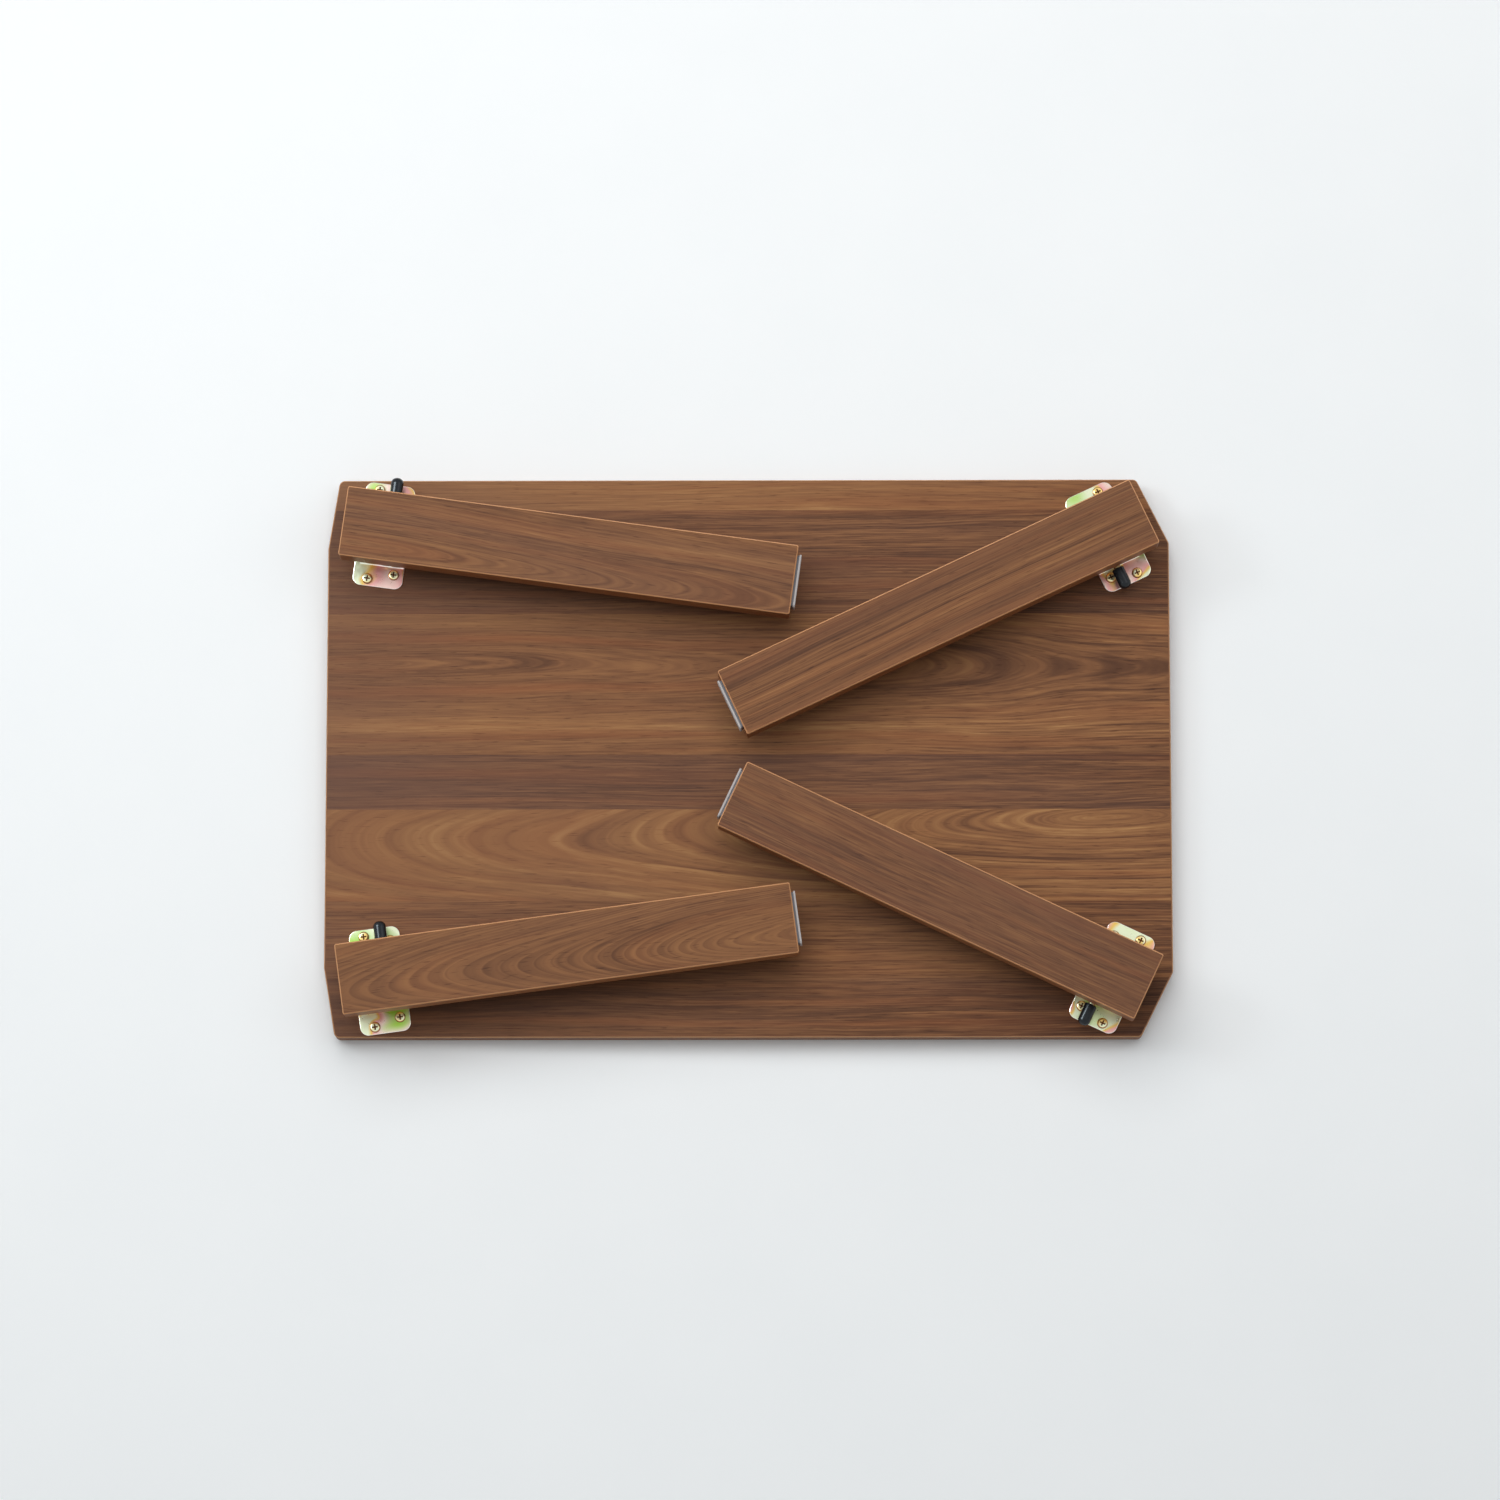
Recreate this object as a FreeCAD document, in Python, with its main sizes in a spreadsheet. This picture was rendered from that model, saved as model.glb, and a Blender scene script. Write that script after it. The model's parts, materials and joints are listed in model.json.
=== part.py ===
import FreeCAD, Part
import math
import os
import Sketcher

# A folding low table, shown as it is stored: legs folded flat against the underside.
# It lies on the face of its tabletop, underside up, with the origin at the middle of that face.
# X runs along the long side and Y along the short side. All lengths are in millimetres.

doc = FreeCAD.newDocument("folding_low_table")
sheet = doc.addObject("Spreadsheet::Sheet", "Sizes")

driving_sizes = {
    # tabletop: a board faced on both sides, with a thin band round its edge
    "top_length": 600,
    "top_width": 400,
    "top_thick": 18,
    "facing_thick": 0.8,
    "band_thick": 1.0,
    "band_bevel": 0.7,
    "top_corner_round": 4,
    "left_cut_along": 49.5,
    "left_cut_across": 8,
    "right_cut_along": 46,
    "right_cut_across": 23,
    # legs: flat boards, each hinged at its outer end
    "leg_length": 322,
    "leg_width": 50,
    "leg_thick": 20,
    "leg_bevel": 0.8,
    "leg_corner_round": 1.5,
    "left_leg_inset": 13.7,
    "left_plate_lap": 0.8,
    "right_leg_inset": 19.5,
    "right_plate_lap": 6.7,
    "feet_space": 19,
    "legs_space": 14.9,
    # hinge base: a pressed plate with two ears, screwed to the underside
    "plate_start": 8.3,
    "plate_length": 36,
    "plate_width": 75,
    "flange_width": 16.3,
    "plate_thick": 1.6,
    "plate_round": 6,
    "plate_edge_round": 0.5,
    "ear_length": 31.5,
    "ear_shoulder": 8,
    "ear_wall": 4.8,
    "ear_foot_round": 1.2,
    "pivot_back": 17,
    "pin_radius": 2.5,
    "pin_head_radius": 4.2,
    "pin_head_thick": 1.5,
    "outer_screw_from_edge": 5.2,
    "outer_screw_from_end": 10.6,
    "inner_screw_from_edge": 10,
    "inner_screw_from_end": 7,
    # leg bracket: a channel whose two cheeks turn on the pivot pin
    "bracket_start": 3,
    "bracket_length": 62,
    "bracket_thick": 1.6,
    "bracket_round": 5,
    "cheek_arm": 26,
    "cheek_slope": 6,
    "cam_radius": 12.8,
    "lock_depth": 3,
    "bracket_screw_end": 6,
    "bracket_screw_pitch": 11,
    "bracket_screw_side": 8.2,
    # lock rod with its two collars, the vinyl cap that a finger pushes, and the spring
    "rod_radius": 2.5,
    "rod_dip": 22,
    "rod_travel": 3,
    "collar_radius": 3.6,
    "collar_thick": 1.4,
    "cap_radius": 4.5,
    "cap_space": 2.1,
    "cap_length": 15.7,
    "cap_wall": 3.4,
    "cap_round": 4.1,
    "spring_radius": 2.6,
    # feet: a moulded glide nailed to the end of each leg, with a sole that stands proud of it
    "glide_length": 36.8,
    "glide_width": 12,
    "glide_thick": 1.5,
    "glide_round": 1.4,
    "glide_pin_radius": 1.1,
    "glide_pin_length": 12,
    "glide_pin_space": 26,
    "pad_thick": 1.3,
    "pad_border": 0.7,
    # wood screws
    "base_head_radius": 3.8,
    "base_head_thick": 2.2,
    "base_shank_radius": 2,
    "base_shank_length": 13,
    "leg_head_radius": 3.4,
    "leg_head_thick": 1.9,
    "leg_shank_radius": 1.75,
    "leg_shank_length": 12,
    "recess_width": 1.1,
    "recess_span": 4.2,
    "recess_depth": 1.2,
    # clearances
    "end_clear": 0.3,
    "seat_clear": 0.3,
    "side_clear": 0.4,
    "pin_clear": 0.06,
    "shank_clear": 0.05,
    "plate_hole_clear": 0.3,
    "cam_clear": 0.35,
    "slot_clear": 0.15,
    "spring_clear": 0.3,
    "hole_spare": 1,
    "overrun": 2,
}

for row, (alias, value) in enumerate(driving_sizes.items(), start=1):
    sheet.set(f"A{row}", alias)
    sheet.set(f"B{row}", str(value))
    sheet.setAlias(f"B{row}", alias)
doc.recompute()

# Shares: how far a screw's point and a head's dome taper, as shares of their radius.
point_share = 1.6
dome_share = 0.42
cap_base_round_share = 0.2

# Heights and reaches that follow from the driving sizes, as expressions.
pivot_z = "(Sizes.pivot_back + Sizes.plate_thick + Sizes.end_clear)"
leg_gap = f"({pivot_z} + Sizes.ear_wall + Sizes.seat_clear)"
ear_outside = "(Sizes.plate_width / 2 - Sizes.flange_width)"
ear_inside = f"({ear_outside} - Sizes.plate_thick)"
bracket_half = f"({ear_inside} - Sizes.side_clear)"
ear_start = "(Sizes.pivot_back - Sizes.ear_wall)"
rod_reach = "(Sizes.cam_radius + Sizes.cam_clear + Sizes.rod_radius)"
rod_u = f"(Sizes.pivot_back + {rod_reach} * cos(Sizes.rod_dip * 1 deg))"
rod_z = f"({pivot_z} - {rod_reach} * sin(Sizes.rod_dip * 1 deg))"
collar_start = f"({ear_outside} + Sizes.seat_clear)"
collar_end = f"({collar_start} + Sizes.collar_thick)"
cap_start = f"({collar_end} + Sizes.cap_space)"
cap_tip = f"({cap_start} + Sizes.cap_length)"
rod_end = f"({cap_tip} - Sizes.cap_wall)"
outer_screw_u = "(Sizes.plate_start + Sizes.outer_screw_from_end)"
inner_screw_u = "(Sizes.plate_start + Sizes.plate_length - Sizes.inner_screw_from_end)"
outer_screw_v = "(Sizes.plate_width / 2 - Sizes.outer_screw_from_edge)"
inner_screw_v = "(Sizes.plate_width / 2 - Sizes.inner_screw_from_edge)"
far_bracket_u = "(Sizes.bracket_start + Sizes.bracket_length - Sizes.bracket_screw_end)"
near_bracket_u = f"({far_bracket_u} - Sizes.bracket_screw_pitch)"
bracket_screw_v = f"({bracket_half} - Sizes.bracket_screw_side)"
leg_middle_z = f"({leg_gap} + Sizes.leg_thick / 2)"


def size(expression):
    return float(sheet.evalExpression(str(expression)))


def new_body(label):
    body = doc.addObject("PartDesign::Body", label)
    body.Label = label
    return body


def new_sketch(body, role, name, offset=None):
    plane = next(o for o in body.Origin.OriginFeatures if o.Role == role)
    sketch = body.newObject("Sketcher::SketchObject", name)
    sketch.AttachmentSupport = [(plane, "")]
    sketch.MapMode = "FlatFace"
    if offset is not None:
        sketch.setExpression("AttachmentOffset.Base.z", offset)
    return sketch


# Holds one point of a sketch at two expressions.
def hold(sketch, geometry, position, x, y):
    for kind, expression in (("DistanceX", x), ("DistanceY", y)):
        value = size(expression)
        index = sketch.addConstraint(Sketcher.Constraint(kind, -1, 1, geometry, position, value))
        sketch.setExpression(f"Constraints[{index}]", str(expression))


def bind_radius(sketch, geometry, radius):
    index = sketch.addConstraint(Sketcher.Constraint("Radius", geometry, size(radius)))
    sketch.setExpression(f"Constraints[{index}]", str(radius))


# A closed outline of straight sides through corners given as pairs of expressions.
def add_outline(sketch, corners):
    points = [FreeCAD.Vector(size(x), size(y), 0) for x, y in corners]
    first = sketch.GeometryCount
    count = len(points)
    for i in range(count):
        sketch.addGeometry(Part.LineSegment(points[i], points[(i + 1) % count]))
    for i in range(count):
        after = first + (i + 1) % count
        sketch.addConstraint(Sketcher.Constraint("Coincident", first + i, 2, after, 1))
    for i, (x, y) in enumerate(corners):
        hold(sketch, first + i, 1, x, y)


def add_rectangle(sketch, x0, x1, y0, y1):
    add_outline(sketch, [(x0, y0), (x1, y0), (x1, y1), (x0, y1)])


def add_circle(sketch, x, y, radius):
    centre = FreeCAD.Vector(size(x), size(y), 0)
    circle = Part.Circle(centre, FreeCAD.Vector(0, 0, 1), size(radius))
    geometry = sketch.addGeometry(circle)
    hold(sketch, geometry, 3, x, y)
    bind_radius(sketch, geometry, radius)


# A slot with round ends, from reach a to reach b along the line that dips from (x, y).
def add_slot(sketch, x, y, dip, reach_a, reach_b, radius):
    angle = math.radians(-size(dip))
    along = FreeCAD.Vector(math.cos(angle), math.sin(angle), 0)
    across = FreeCAD.Vector(-along.y, along.x, 0)
    start = FreeCAD.Vector(size(x), size(y), 0)
    a = start + along * size(reach_a)
    b = start + along * size(reach_b)
    r = size(radius)
    quarter = math.pi / 2
    up = FreeCAD.Vector(0, 0, 1)
    far = sketch.addGeometry(Part.ArcOfCircle(Part.Circle(b, up, r), angle - quarter, angle + quarter))
    side = sketch.addGeometry(Part.LineSegment(b + across * r, a + across * r))
    near = sketch.addGeometry(Part.ArcOfCircle(Part.Circle(a, up, r), angle + quarter, angle + 3 * quarter))
    back = sketch.addGeometry(Part.LineSegment(a - across * r, b - across * r))
    for one, two in ((far, side), (side, near), (near, back), (back, far)):
        sketch.addConstraint(Sketcher.Constraint("Tangent", one, 2, two, 1))
    for arc, reach in ((far, reach_b), (near, reach_a)):
        hold(
            sketch, arc, 3,
            f"{x} + {reach} * cos({dip} * 1 deg)",
            f"{y} - {reach} * sin({dip} * 1 deg)",
        )
        bind_radius(sketch, arc, radius)


def pad(body, sketch, length, midplane=False):
    feature = body.newObject("PartDesign::Pad", "pad")
    feature.Profile = sketch
    feature.setExpression("Length", length)
    feature.Midplane = midplane
    doc.recompute()
    return feature


# Cuts the same depth to both sides of the sketch, so length is twice the depth wanted.
def pocket(body, sketch, length):
    before = body.Shape.Volume
    feature = body.newObject("PartDesign::Pocket", "pocket")
    feature.Profile = sketch
    feature.setExpression("Length", length)
    feature.Midplane = True
    doc.recompute()
    if not body.Shape.Volume < before:
        raise ValueError(f"{body.Label}: a pocket cuts nothing")
    return feature


def revolve(body, sketch, axis):
    feature = body.newObject("PartDesign::Revolution", "revolution")
    feature.Profile = sketch
    feature.ReferenceAxis = (sketch, [axis])
    feature.Angle = 360
    doc.recompute()
    return feature


# Names the edges of a body that a test picks.
def edges_where(body, test):
    return [f"Edge{i}" for i, edge in enumerate(body.Shape.Edges, start=1) if test(edge)]


def is_upright(edge):
    box = edge.BoundBox
    return max(box.XLength, box.YLength) < Part.Precision.confusion() and box.ZLength > 0


# A test for edges that lie flat at one of the heights.
def lies_at(*heights):
    levels = [size(height) for height in heights]
    fine = Part.Precision.confusion()

    def test(edge):
        box = edge.BoundBox
        return box.ZLength < fine and any(abs(box.ZMin - level) < fine for level in levels)

    return test


def dress(body, kind, test, amount):
    names = edges_where(body, test)
    if not names:
        raise ValueError(f"{body.Label}: no edge to {kind.lower()}")
    base = body.Tip
    feature = body.newObject(f"PartDesign::{kind}", kind.lower())
    feature.Base = (base, names)
    feature.setExpression("Radius" if kind == "Fillet" else "Size", amount)
    doc.recompute()
    return feature


# Each corner's place and turn. The right legs meet near the middle line, feet_space apart,
# and the left legs clear the right ones by legs_space.
def leg_places():
    half_foot = math.atan(size("Sizes.leg_width / 2 / Sizes.leg_length"))
    foot_reach = math.hypot(size("Sizes.leg_length"), size("Sizes.leg_width / 2"))
    right_x = size("Sizes.top_length / 2 - Sizes.right_leg_inset")
    right_y = size("(Sizes.top_width - Sizes.plate_width) / 2 + Sizes.right_plate_lap")
    right_drop = right_y - size("Sizes.feet_space / 2")
    right_turn = math.asin(right_drop / foot_reach) - half_foot
    left_x = size("Sizes.top_length / 2 - Sizes.left_leg_inset")
    left_y = size("(Sizes.top_width - Sizes.plate_width) / 2 + Sizes.left_plate_lap")
    apart = (left_x + right_x) * math.sin(right_turn) + (left_y - right_y) * math.cos(right_turn)
    left_drop = apart - size("Sizes.leg_width / 2 + Sizes.legs_space")
    left_turn = math.asin(left_drop / foot_reach) - right_turn - half_foot
    right = math.degrees(right_turn)
    left = math.degrees(left_turn)
    return {
        "left_rear": (-left_x, left_y, -left),
        "left_front": (-left_x, -left_y, left),
        "right_rear": (right_x, right_y, 180 + right),
        "right_front": (right_x, -right_y, 180 - right),
    }


places = leg_places()


# The placement of a piece in a corner's own frame: u runs from the leg's hinged end to its
# foot, v along the pivot towards the lever, and z up from the underside.
def corner_place(corner, u="0", v="0", z="0"):
    x, y, turn = places[corner]
    rotation = FreeCAD.Rotation(FreeCAD.Vector(0, 0, 1), turn)
    frame = FreeCAD.Placement(FreeCAD.Vector(x, y, size("Sizes.top_thick")), rotation)
    offset = FreeCAD.Vector(size(u), size(v), size(z))
    return frame.multiply(FreeCAD.Placement(offset, FreeCAD.Rotation()))


nodes = []


def keep(piece, label):
    piece.Label = label
    nodes.append(piece)
    return piece


def feature_of(label, shape, placement):
    piece = doc.addObject("Part::Feature", label)
    piece.Shape = shape
    piece.Placement = placement
    return keep(piece, label)


# Tabletop


# The eight corners of the tabletop, moved in by inset all round.
def top_corners(inset):
    half_x = f"(Sizes.top_length / 2 - {inset})"
    half_y = f"(Sizes.top_width / 2 - {inset})"
    ends = []
    for side in ("left", "right"):
        along = f"Sizes.{side}_cut_along"
        across = f"Sizes.{side}_cut_across"
        lean = f"atan({across} / {along})"
        ends.append((
            f"(Sizes.top_length / 2 - {across} - {inset} * tan(45 deg - {lean} / 2))",
            f"(Sizes.top_width / 2 - {along} - {inset} * tan({lean} / 2))",
        ))
    (left_x, left_y), (right_x, right_y) = ends
    return [
        (right_x, f"-{half_y}"),
        (half_x, f"-{right_y}"),
        (half_x, right_y),
        (right_x, half_y),
        (f"-{left_x}", half_y),
        (f"-{half_x}", left_y),
        (f"-{half_x}", f"-{left_y}"),
        (f"-{left_x}", f"-{half_y}"),
    ]


def top_slab(label, inset, bottom, thick):
    body = new_body(label)
    sketch = new_sketch(body, "XY_Plane", "outline", bottom)
    add_outline(sketch, top_corners(inset))
    pad(body, sketch, thick)
    dress(body, "Fillet", is_upright, f"Sizes.top_corner_round - {inset}")
    return body


def build_edge_band():
    body = top_slab("band_blank", "0", "0", "Sizes.top_thick")
    dress(body, "Chamfer", lies_at("0", "Sizes.top_thick"), "Sizes.band_bevel")
    through = "Sizes.top_thick + 2 * Sizes.overrun"
    hollow = top_slab("band_hollow", "Sizes.band_thick", "-Sizes.overrun", through)
    ring = doc.addObject("Part::Cut", "edge_band")
    ring.Base = body
    ring.Tool = hollow
    return keep(ring, "edge_band")


# Every hole that a base screw makes in the board, as one tool.
def pilot_holes():
    drills = []
    for corner in places:
        for u, v in base_screw_spots():
            drill = doc.addObject("Part::Cylinder", "drill")
            drill.setExpression("Radius", "Sizes.base_shank_radius + Sizes.shank_clear")
            drill.setExpression("Height", "Sizes.base_shank_length + Sizes.hole_spare + Sizes.overrun")
            depth = "Sizes.plate_thick - Sizes.base_shank_length - Sizes.hole_spare"
            drill.Placement = corner_place(corner, u, v, depth)
            drills.append(drill)
    tool = doc.addObject("Part::Compound", "pilot_holes")
    tool.Links = drills
    return tool


def base_screw_spots():
    return [
        (outer_screw_u, outer_screw_v),
        (inner_screw_u, inner_screw_v),
        (outer_screw_u, f"-{outer_screw_v}"),
        (inner_screw_u, f"-{inner_screw_v}"),
    ]


def bracket_screw_spots():
    return [
        (near_bracket_u, bracket_screw_v),
        (far_bracket_u, bracket_screw_v),
        (near_bracket_u, f"-{bracket_screw_v}"),
        (far_bracket_u, f"-{bracket_screw_v}"),
    ]


def build_tabletop():
    inset = "Sizes.band_thick"
    core_thick = "Sizes.top_thick - 2 * Sizes.facing_thick"
    under = "Sizes.top_thick - Sizes.facing_thick"
    keep(top_slab("top_facing", inset, "0", "Sizes.facing_thick"), "top_facing")
    core = top_slab("core_blank", inset, "Sizes.facing_thick", core_thick)
    facing = top_slab("underside_blank", inset, under, "Sizes.facing_thick")
    build_edge_band()
    holes = pilot_holes()
    for base, label in ((core, "tabletop_core"), (facing, "underside_facing")):
        cut = doc.addObject("Part::Cut", label + "_drilled")
        cut.Base = base
        cut.Tool = holes
        keep(cut, label)


# Hinge hardware


def build_hinge_base(corner):
    body = new_body(f"{corner}_hinge_base")
    plate = new_sketch(body, "XY_Plane", "plate")
    half = "Sizes.plate_width / 2"
    add_rectangle(plate, "Sizes.plate_start", "Sizes.plate_start + Sizes.plate_length", f"-{half}", half)
    pad(body, plate, "Sizes.plate_thick")
    dress(body, "Fillet", is_upright, "Sizes.plate_round")
    dress(body, "Fillet", lies_at("Sizes.plate_thick"), "Sizes.plate_edge_round")
    ears = new_sketch(body, "XZ_Plane", "ears")
    top = f"{pivot_z} + Sizes.ear_wall"
    end = f"{ear_start} + Sizes.ear_length"
    add_outline(ears, [
        (ear_start, "0"),
        (end, "0"),
        (end, f"{top} - Sizes.ear_shoulder"),
        (f"{end} - Sizes.ear_shoulder", top),
        (ear_start, top),
    ])
    pad(body, ears, f"2 * {ear_outside}", True)
    above_ears = f"Sizes.plate_thick + {pivot_z} + Sizes.ear_wall"
    between = new_sketch(body, "XY_Plane", "between_ears", above_ears)
    add_rectangle(
        between,
        f"{ear_start} - Sizes.overrun", f"{end} + Sizes.overrun",
        f"-{ear_inside}", ear_inside,
    )
    pocket(body, between, f"2 * ({pivot_z} + Sizes.ear_wall)")
    start_u = size(ear_start)
    top_z = size(top)
    near = size("Sizes.seat_clear")

    def over_pivot(edge):
        point = edge.CenterOfMass
        at_corner = abs(point.x - start_u) < near and abs(point.z - top_z) < near
        return at_corner and edge.BoundBox.ZLength < near

    dress(body, "Fillet", over_pivot, "Sizes.ear_wall")
    outside_v = size(ear_outside)
    plate_z = size("Sizes.plate_thick")

    def along_foot(edge):
        box = edge.BoundBox
        flat = box.YLength < near and box.ZLength < near
        return flat and abs(abs(box.YMin) - outside_v) < near and abs(box.ZMin - plate_z) < near

    dress(body, "Fillet", along_foot, "Sizes.ear_foot_round")
    through = f"2 * {ear_outside} + 2 * Sizes.overrun"
    slot = new_sketch(body, "XZ_Plane", "rod_slot")
    add_slot(
        slot, "Sizes.pivot_back", pivot_z, "Sizes.rod_dip",
        f"({rod_reach} - Sizes.lock_depth)", f"({rod_reach} + Sizes.rod_travel + Sizes.slot_clear)",
        "Sizes.rod_radius + Sizes.slot_clear",
    )
    pocket(body, slot, through)
    pivot = new_sketch(body, "XZ_Plane", "pivot_hole")
    add_circle(pivot, "Sizes.pivot_back", pivot_z, "Sizes.pin_radius + Sizes.pin_clear")
    pocket(body, pivot, through)
    screws = new_sketch(body, "XY_Plane", "screw_holes")
    for u, v in base_screw_spots():
        add_circle(screws, u, v, "Sizes.base_shank_radius + Sizes.plate_hole_clear")
    pocket(body, screws, "2 * Sizes.plate_thick + 2 * Sizes.overrun")
    body.Placement = corner_place(corner)
    keep(body, body.Label)


def build_leg_bracket(corner):
    body = new_body(f"{corner}_leg_bracket")
    cam = new_sketch(body, "XZ_Plane", "cam")
    add_circle(cam, "Sizes.pivot_back", pivot_z, "Sizes.cam_radius")
    pad(body, cam, f"2 * {bracket_half}", True)
    through = f"2 * {bracket_half} + 2 * Sizes.overrun"
    trim = new_sketch(body, "XZ_Plane", "trim")
    reach = "(Sizes.cam_radius + Sizes.overrun)"
    add_rectangle(
        trim,
        f"Sizes.pivot_back - {reach}", f"Sizes.pivot_back + {reach}",
        leg_gap, f"{leg_gap} + {reach}",
    )
    pocket(body, trim, through)
    arm = new_sketch(body, "XZ_Plane", "arm")
    add_outline(arm, [
        ("Sizes.pivot_back", pivot_z),
        ("Sizes.pivot_back + Sizes.cheek_arm - Sizes.cheek_slope", pivot_z),
        ("Sizes.pivot_back + Sizes.cheek_arm", leg_gap),
        ("Sizes.pivot_back", leg_gap),
    ])
    pad(body, arm, f"2 * {bracket_half}", True)
    web = new_sketch(body, "XY_Plane", "web", f"{leg_gap} - Sizes.bracket_thick")
    end = "Sizes.bracket_start + Sizes.bracket_length"
    add_rectangle(web, "Sizes.bracket_start", end, f"-{bracket_half}", bracket_half)
    pad(body, web, "Sizes.bracket_thick")
    inside = f"({bracket_half} - Sizes.bracket_thick)"
    channel = new_sketch(body, "XY_Plane", "channel", f"{pivot_z} - Sizes.cam_radius - Sizes.overrun")
    add_rectangle(
        channel,
        f"Sizes.pivot_back - {reach}", "Sizes.pivot_back + Sizes.cheek_arm + Sizes.overrun",
        f"-{inside}", inside,
    )
    pocket(body, channel, f"2 * ({leg_gap} - Sizes.bracket_thick - {pivot_z} + {reach})")
    end_u = size(end)
    near = size("Sizes.seat_clear")
    dress(
        body, "Fillet",
        lambda edge: is_upright(edge) and abs(edge.CenterOfMass.x - end_u) < near,
        "Sizes.bracket_round",
    )
    notch = new_sketch(body, "XZ_Plane", "lock_notch")
    add_slot(
        notch, "Sizes.pivot_back", pivot_z, "(Sizes.rod_dip + 90)",
        f"({rod_reach} - Sizes.lock_depth)", f"({rod_reach} + Sizes.overrun)",
        "Sizes.rod_radius + Sizes.cam_clear",
    )
    pocket(body, notch, through)
    pivot = new_sketch(body, "XZ_Plane", "pivot_hole")
    add_circle(pivot, "Sizes.pivot_back", pivot_z, "Sizes.pin_radius + Sizes.pin_clear")
    pocket(body, pivot, through)
    screws = new_sketch(body, "XY_Plane", "screw_holes", leg_gap)
    for u, v in bracket_screw_spots():
        add_circle(screws, u, v, "Sizes.leg_shank_radius + Sizes.plate_hole_clear")
    pocket(body, screws, "2 * Sizes.bracket_thick + 2 * Sizes.overrun")
    body.Placement = corner_place(corner)
    keep(body, body.Label)


# A turned piece about the pivot's direction, from pairs of radius and v.
def turned(label, profile):
    body = new_body(label)
    sketch = new_sketch(body, "XY_Plane", "profile")
    add_outline(sketch, profile)
    revolve(body, sketch, "V_Axis")
    return body


def build_pivot_pin(corner):
    inner = f"({ear_outside} + Sizes.pin_clear)"
    outer = f"({inner} + Sizes.pin_head_thick)"
    body = turned(f"{corner}_pivot_pin", [
        ("0", f"-{outer}"),
        ("Sizes.pin_head_radius", f"-{outer}"),
        ("Sizes.pin_head_radius", f"-{inner}"),
        ("Sizes.pin_radius", f"-{inner}"),
        ("Sizes.pin_radius", inner),
        ("Sizes.pin_head_radius", inner),
        ("Sizes.pin_head_radius", outer),
        ("0", outer),
    ])
    reach = size(outer)
    near = size("Sizes.seat_clear")
    dress(
        body, "Fillet",
        lambda edge: edge.BoundBox.YLength < near and abs(abs(edge.BoundBox.YMin) - reach) < near,
        f"Sizes.pin_head_thick * {dome_share}",
    )
    body.Placement = corner_place(corner, "Sizes.pivot_back", "0", pivot_z)
    keep(body, body.Label)


def build_lock_rod(corner):
    body = turned(f"{corner}_lock_rod", [
        ("0", f"-{collar_end}"),
        ("Sizes.collar_radius", f"-{collar_end}"),
        ("Sizes.collar_radius", f"-{collar_start}"),
        ("Sizes.rod_radius", f"-{collar_start}"),
        ("Sizes.rod_radius", collar_start),
        ("Sizes.collar_radius", collar_start),
        ("Sizes.collar_radius", collar_end),
        ("Sizes.rod_radius", collar_end),
        ("Sizes.rod_radius", rod_end),
        ("0", rod_end),
    ])
    body.Placement = corner_place(corner, rod_u, "0", rod_z)
    keep(body, body.Label)


def build_lever_cap(corner):
    bore = "Sizes.rod_radius + Sizes.shank_clear"
    bore_end = f"{rod_end} + Sizes.shank_clear"
    body = turned(f"{corner}_lever_cap", [
        (bore, cap_start),
        ("Sizes.cap_radius", cap_start),
        ("Sizes.cap_radius", cap_tip),
        ("0", cap_tip),
        ("0", bore_end),
        (bore, bore_end),
    ])
    near = size("Sizes.seat_clear")
    radius = size("Sizes.cap_radius")

    def outer_ring(level):
        return lambda edge: (
            edge.BoundBox.YLength < near
            and abs(edge.BoundBox.YMin - size(level)) < near
            and abs(edge.BoundBox.XLength / 2 - radius) < near
        )

    dress(body, "Fillet", outer_ring(cap_tip), "Sizes.cap_round")
    dress(body, "Fillet", outer_ring(cap_start), f"Sizes.cap_radius * {cap_base_round_share}")
    body.Placement = corner_place(corner, rod_u, "0", rod_z)
    keep(body, body.Label)


# The spring that draws the lock rod towards the pivot pin, as its outer cylinder.
def build_lock_spring(corner):
    spring = doc.addObject("Part::Cylinder", f"{corner}_lock_spring")
    spring.setExpression("Radius", "Sizes.spring_radius")
    spring.setExpression(
        "Height", f"{rod_reach} - Sizes.pin_radius - Sizes.rod_radius - 2 * Sizes.spring_clear"
    )
    start = "(Sizes.pin_radius + Sizes.spring_clear)"
    along_rod = FreeCAD.Rotation(FreeCAD.Vector(0, 1, 0), 90 + size("Sizes.rod_dip"))
    spring.Placement = corner_place(
        corner,
        f"Sizes.pivot_back + {start} * cos(Sizes.rod_dip * 1 deg)", "0",
        f"{pivot_z} - {start} * sin(Sizes.rod_dip * 1 deg)",
    ).multiply(FreeCAD.Placement(FreeCAD.Vector(), along_rod))
    keep(spring, spring.Label)


# Legs and feet


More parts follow.
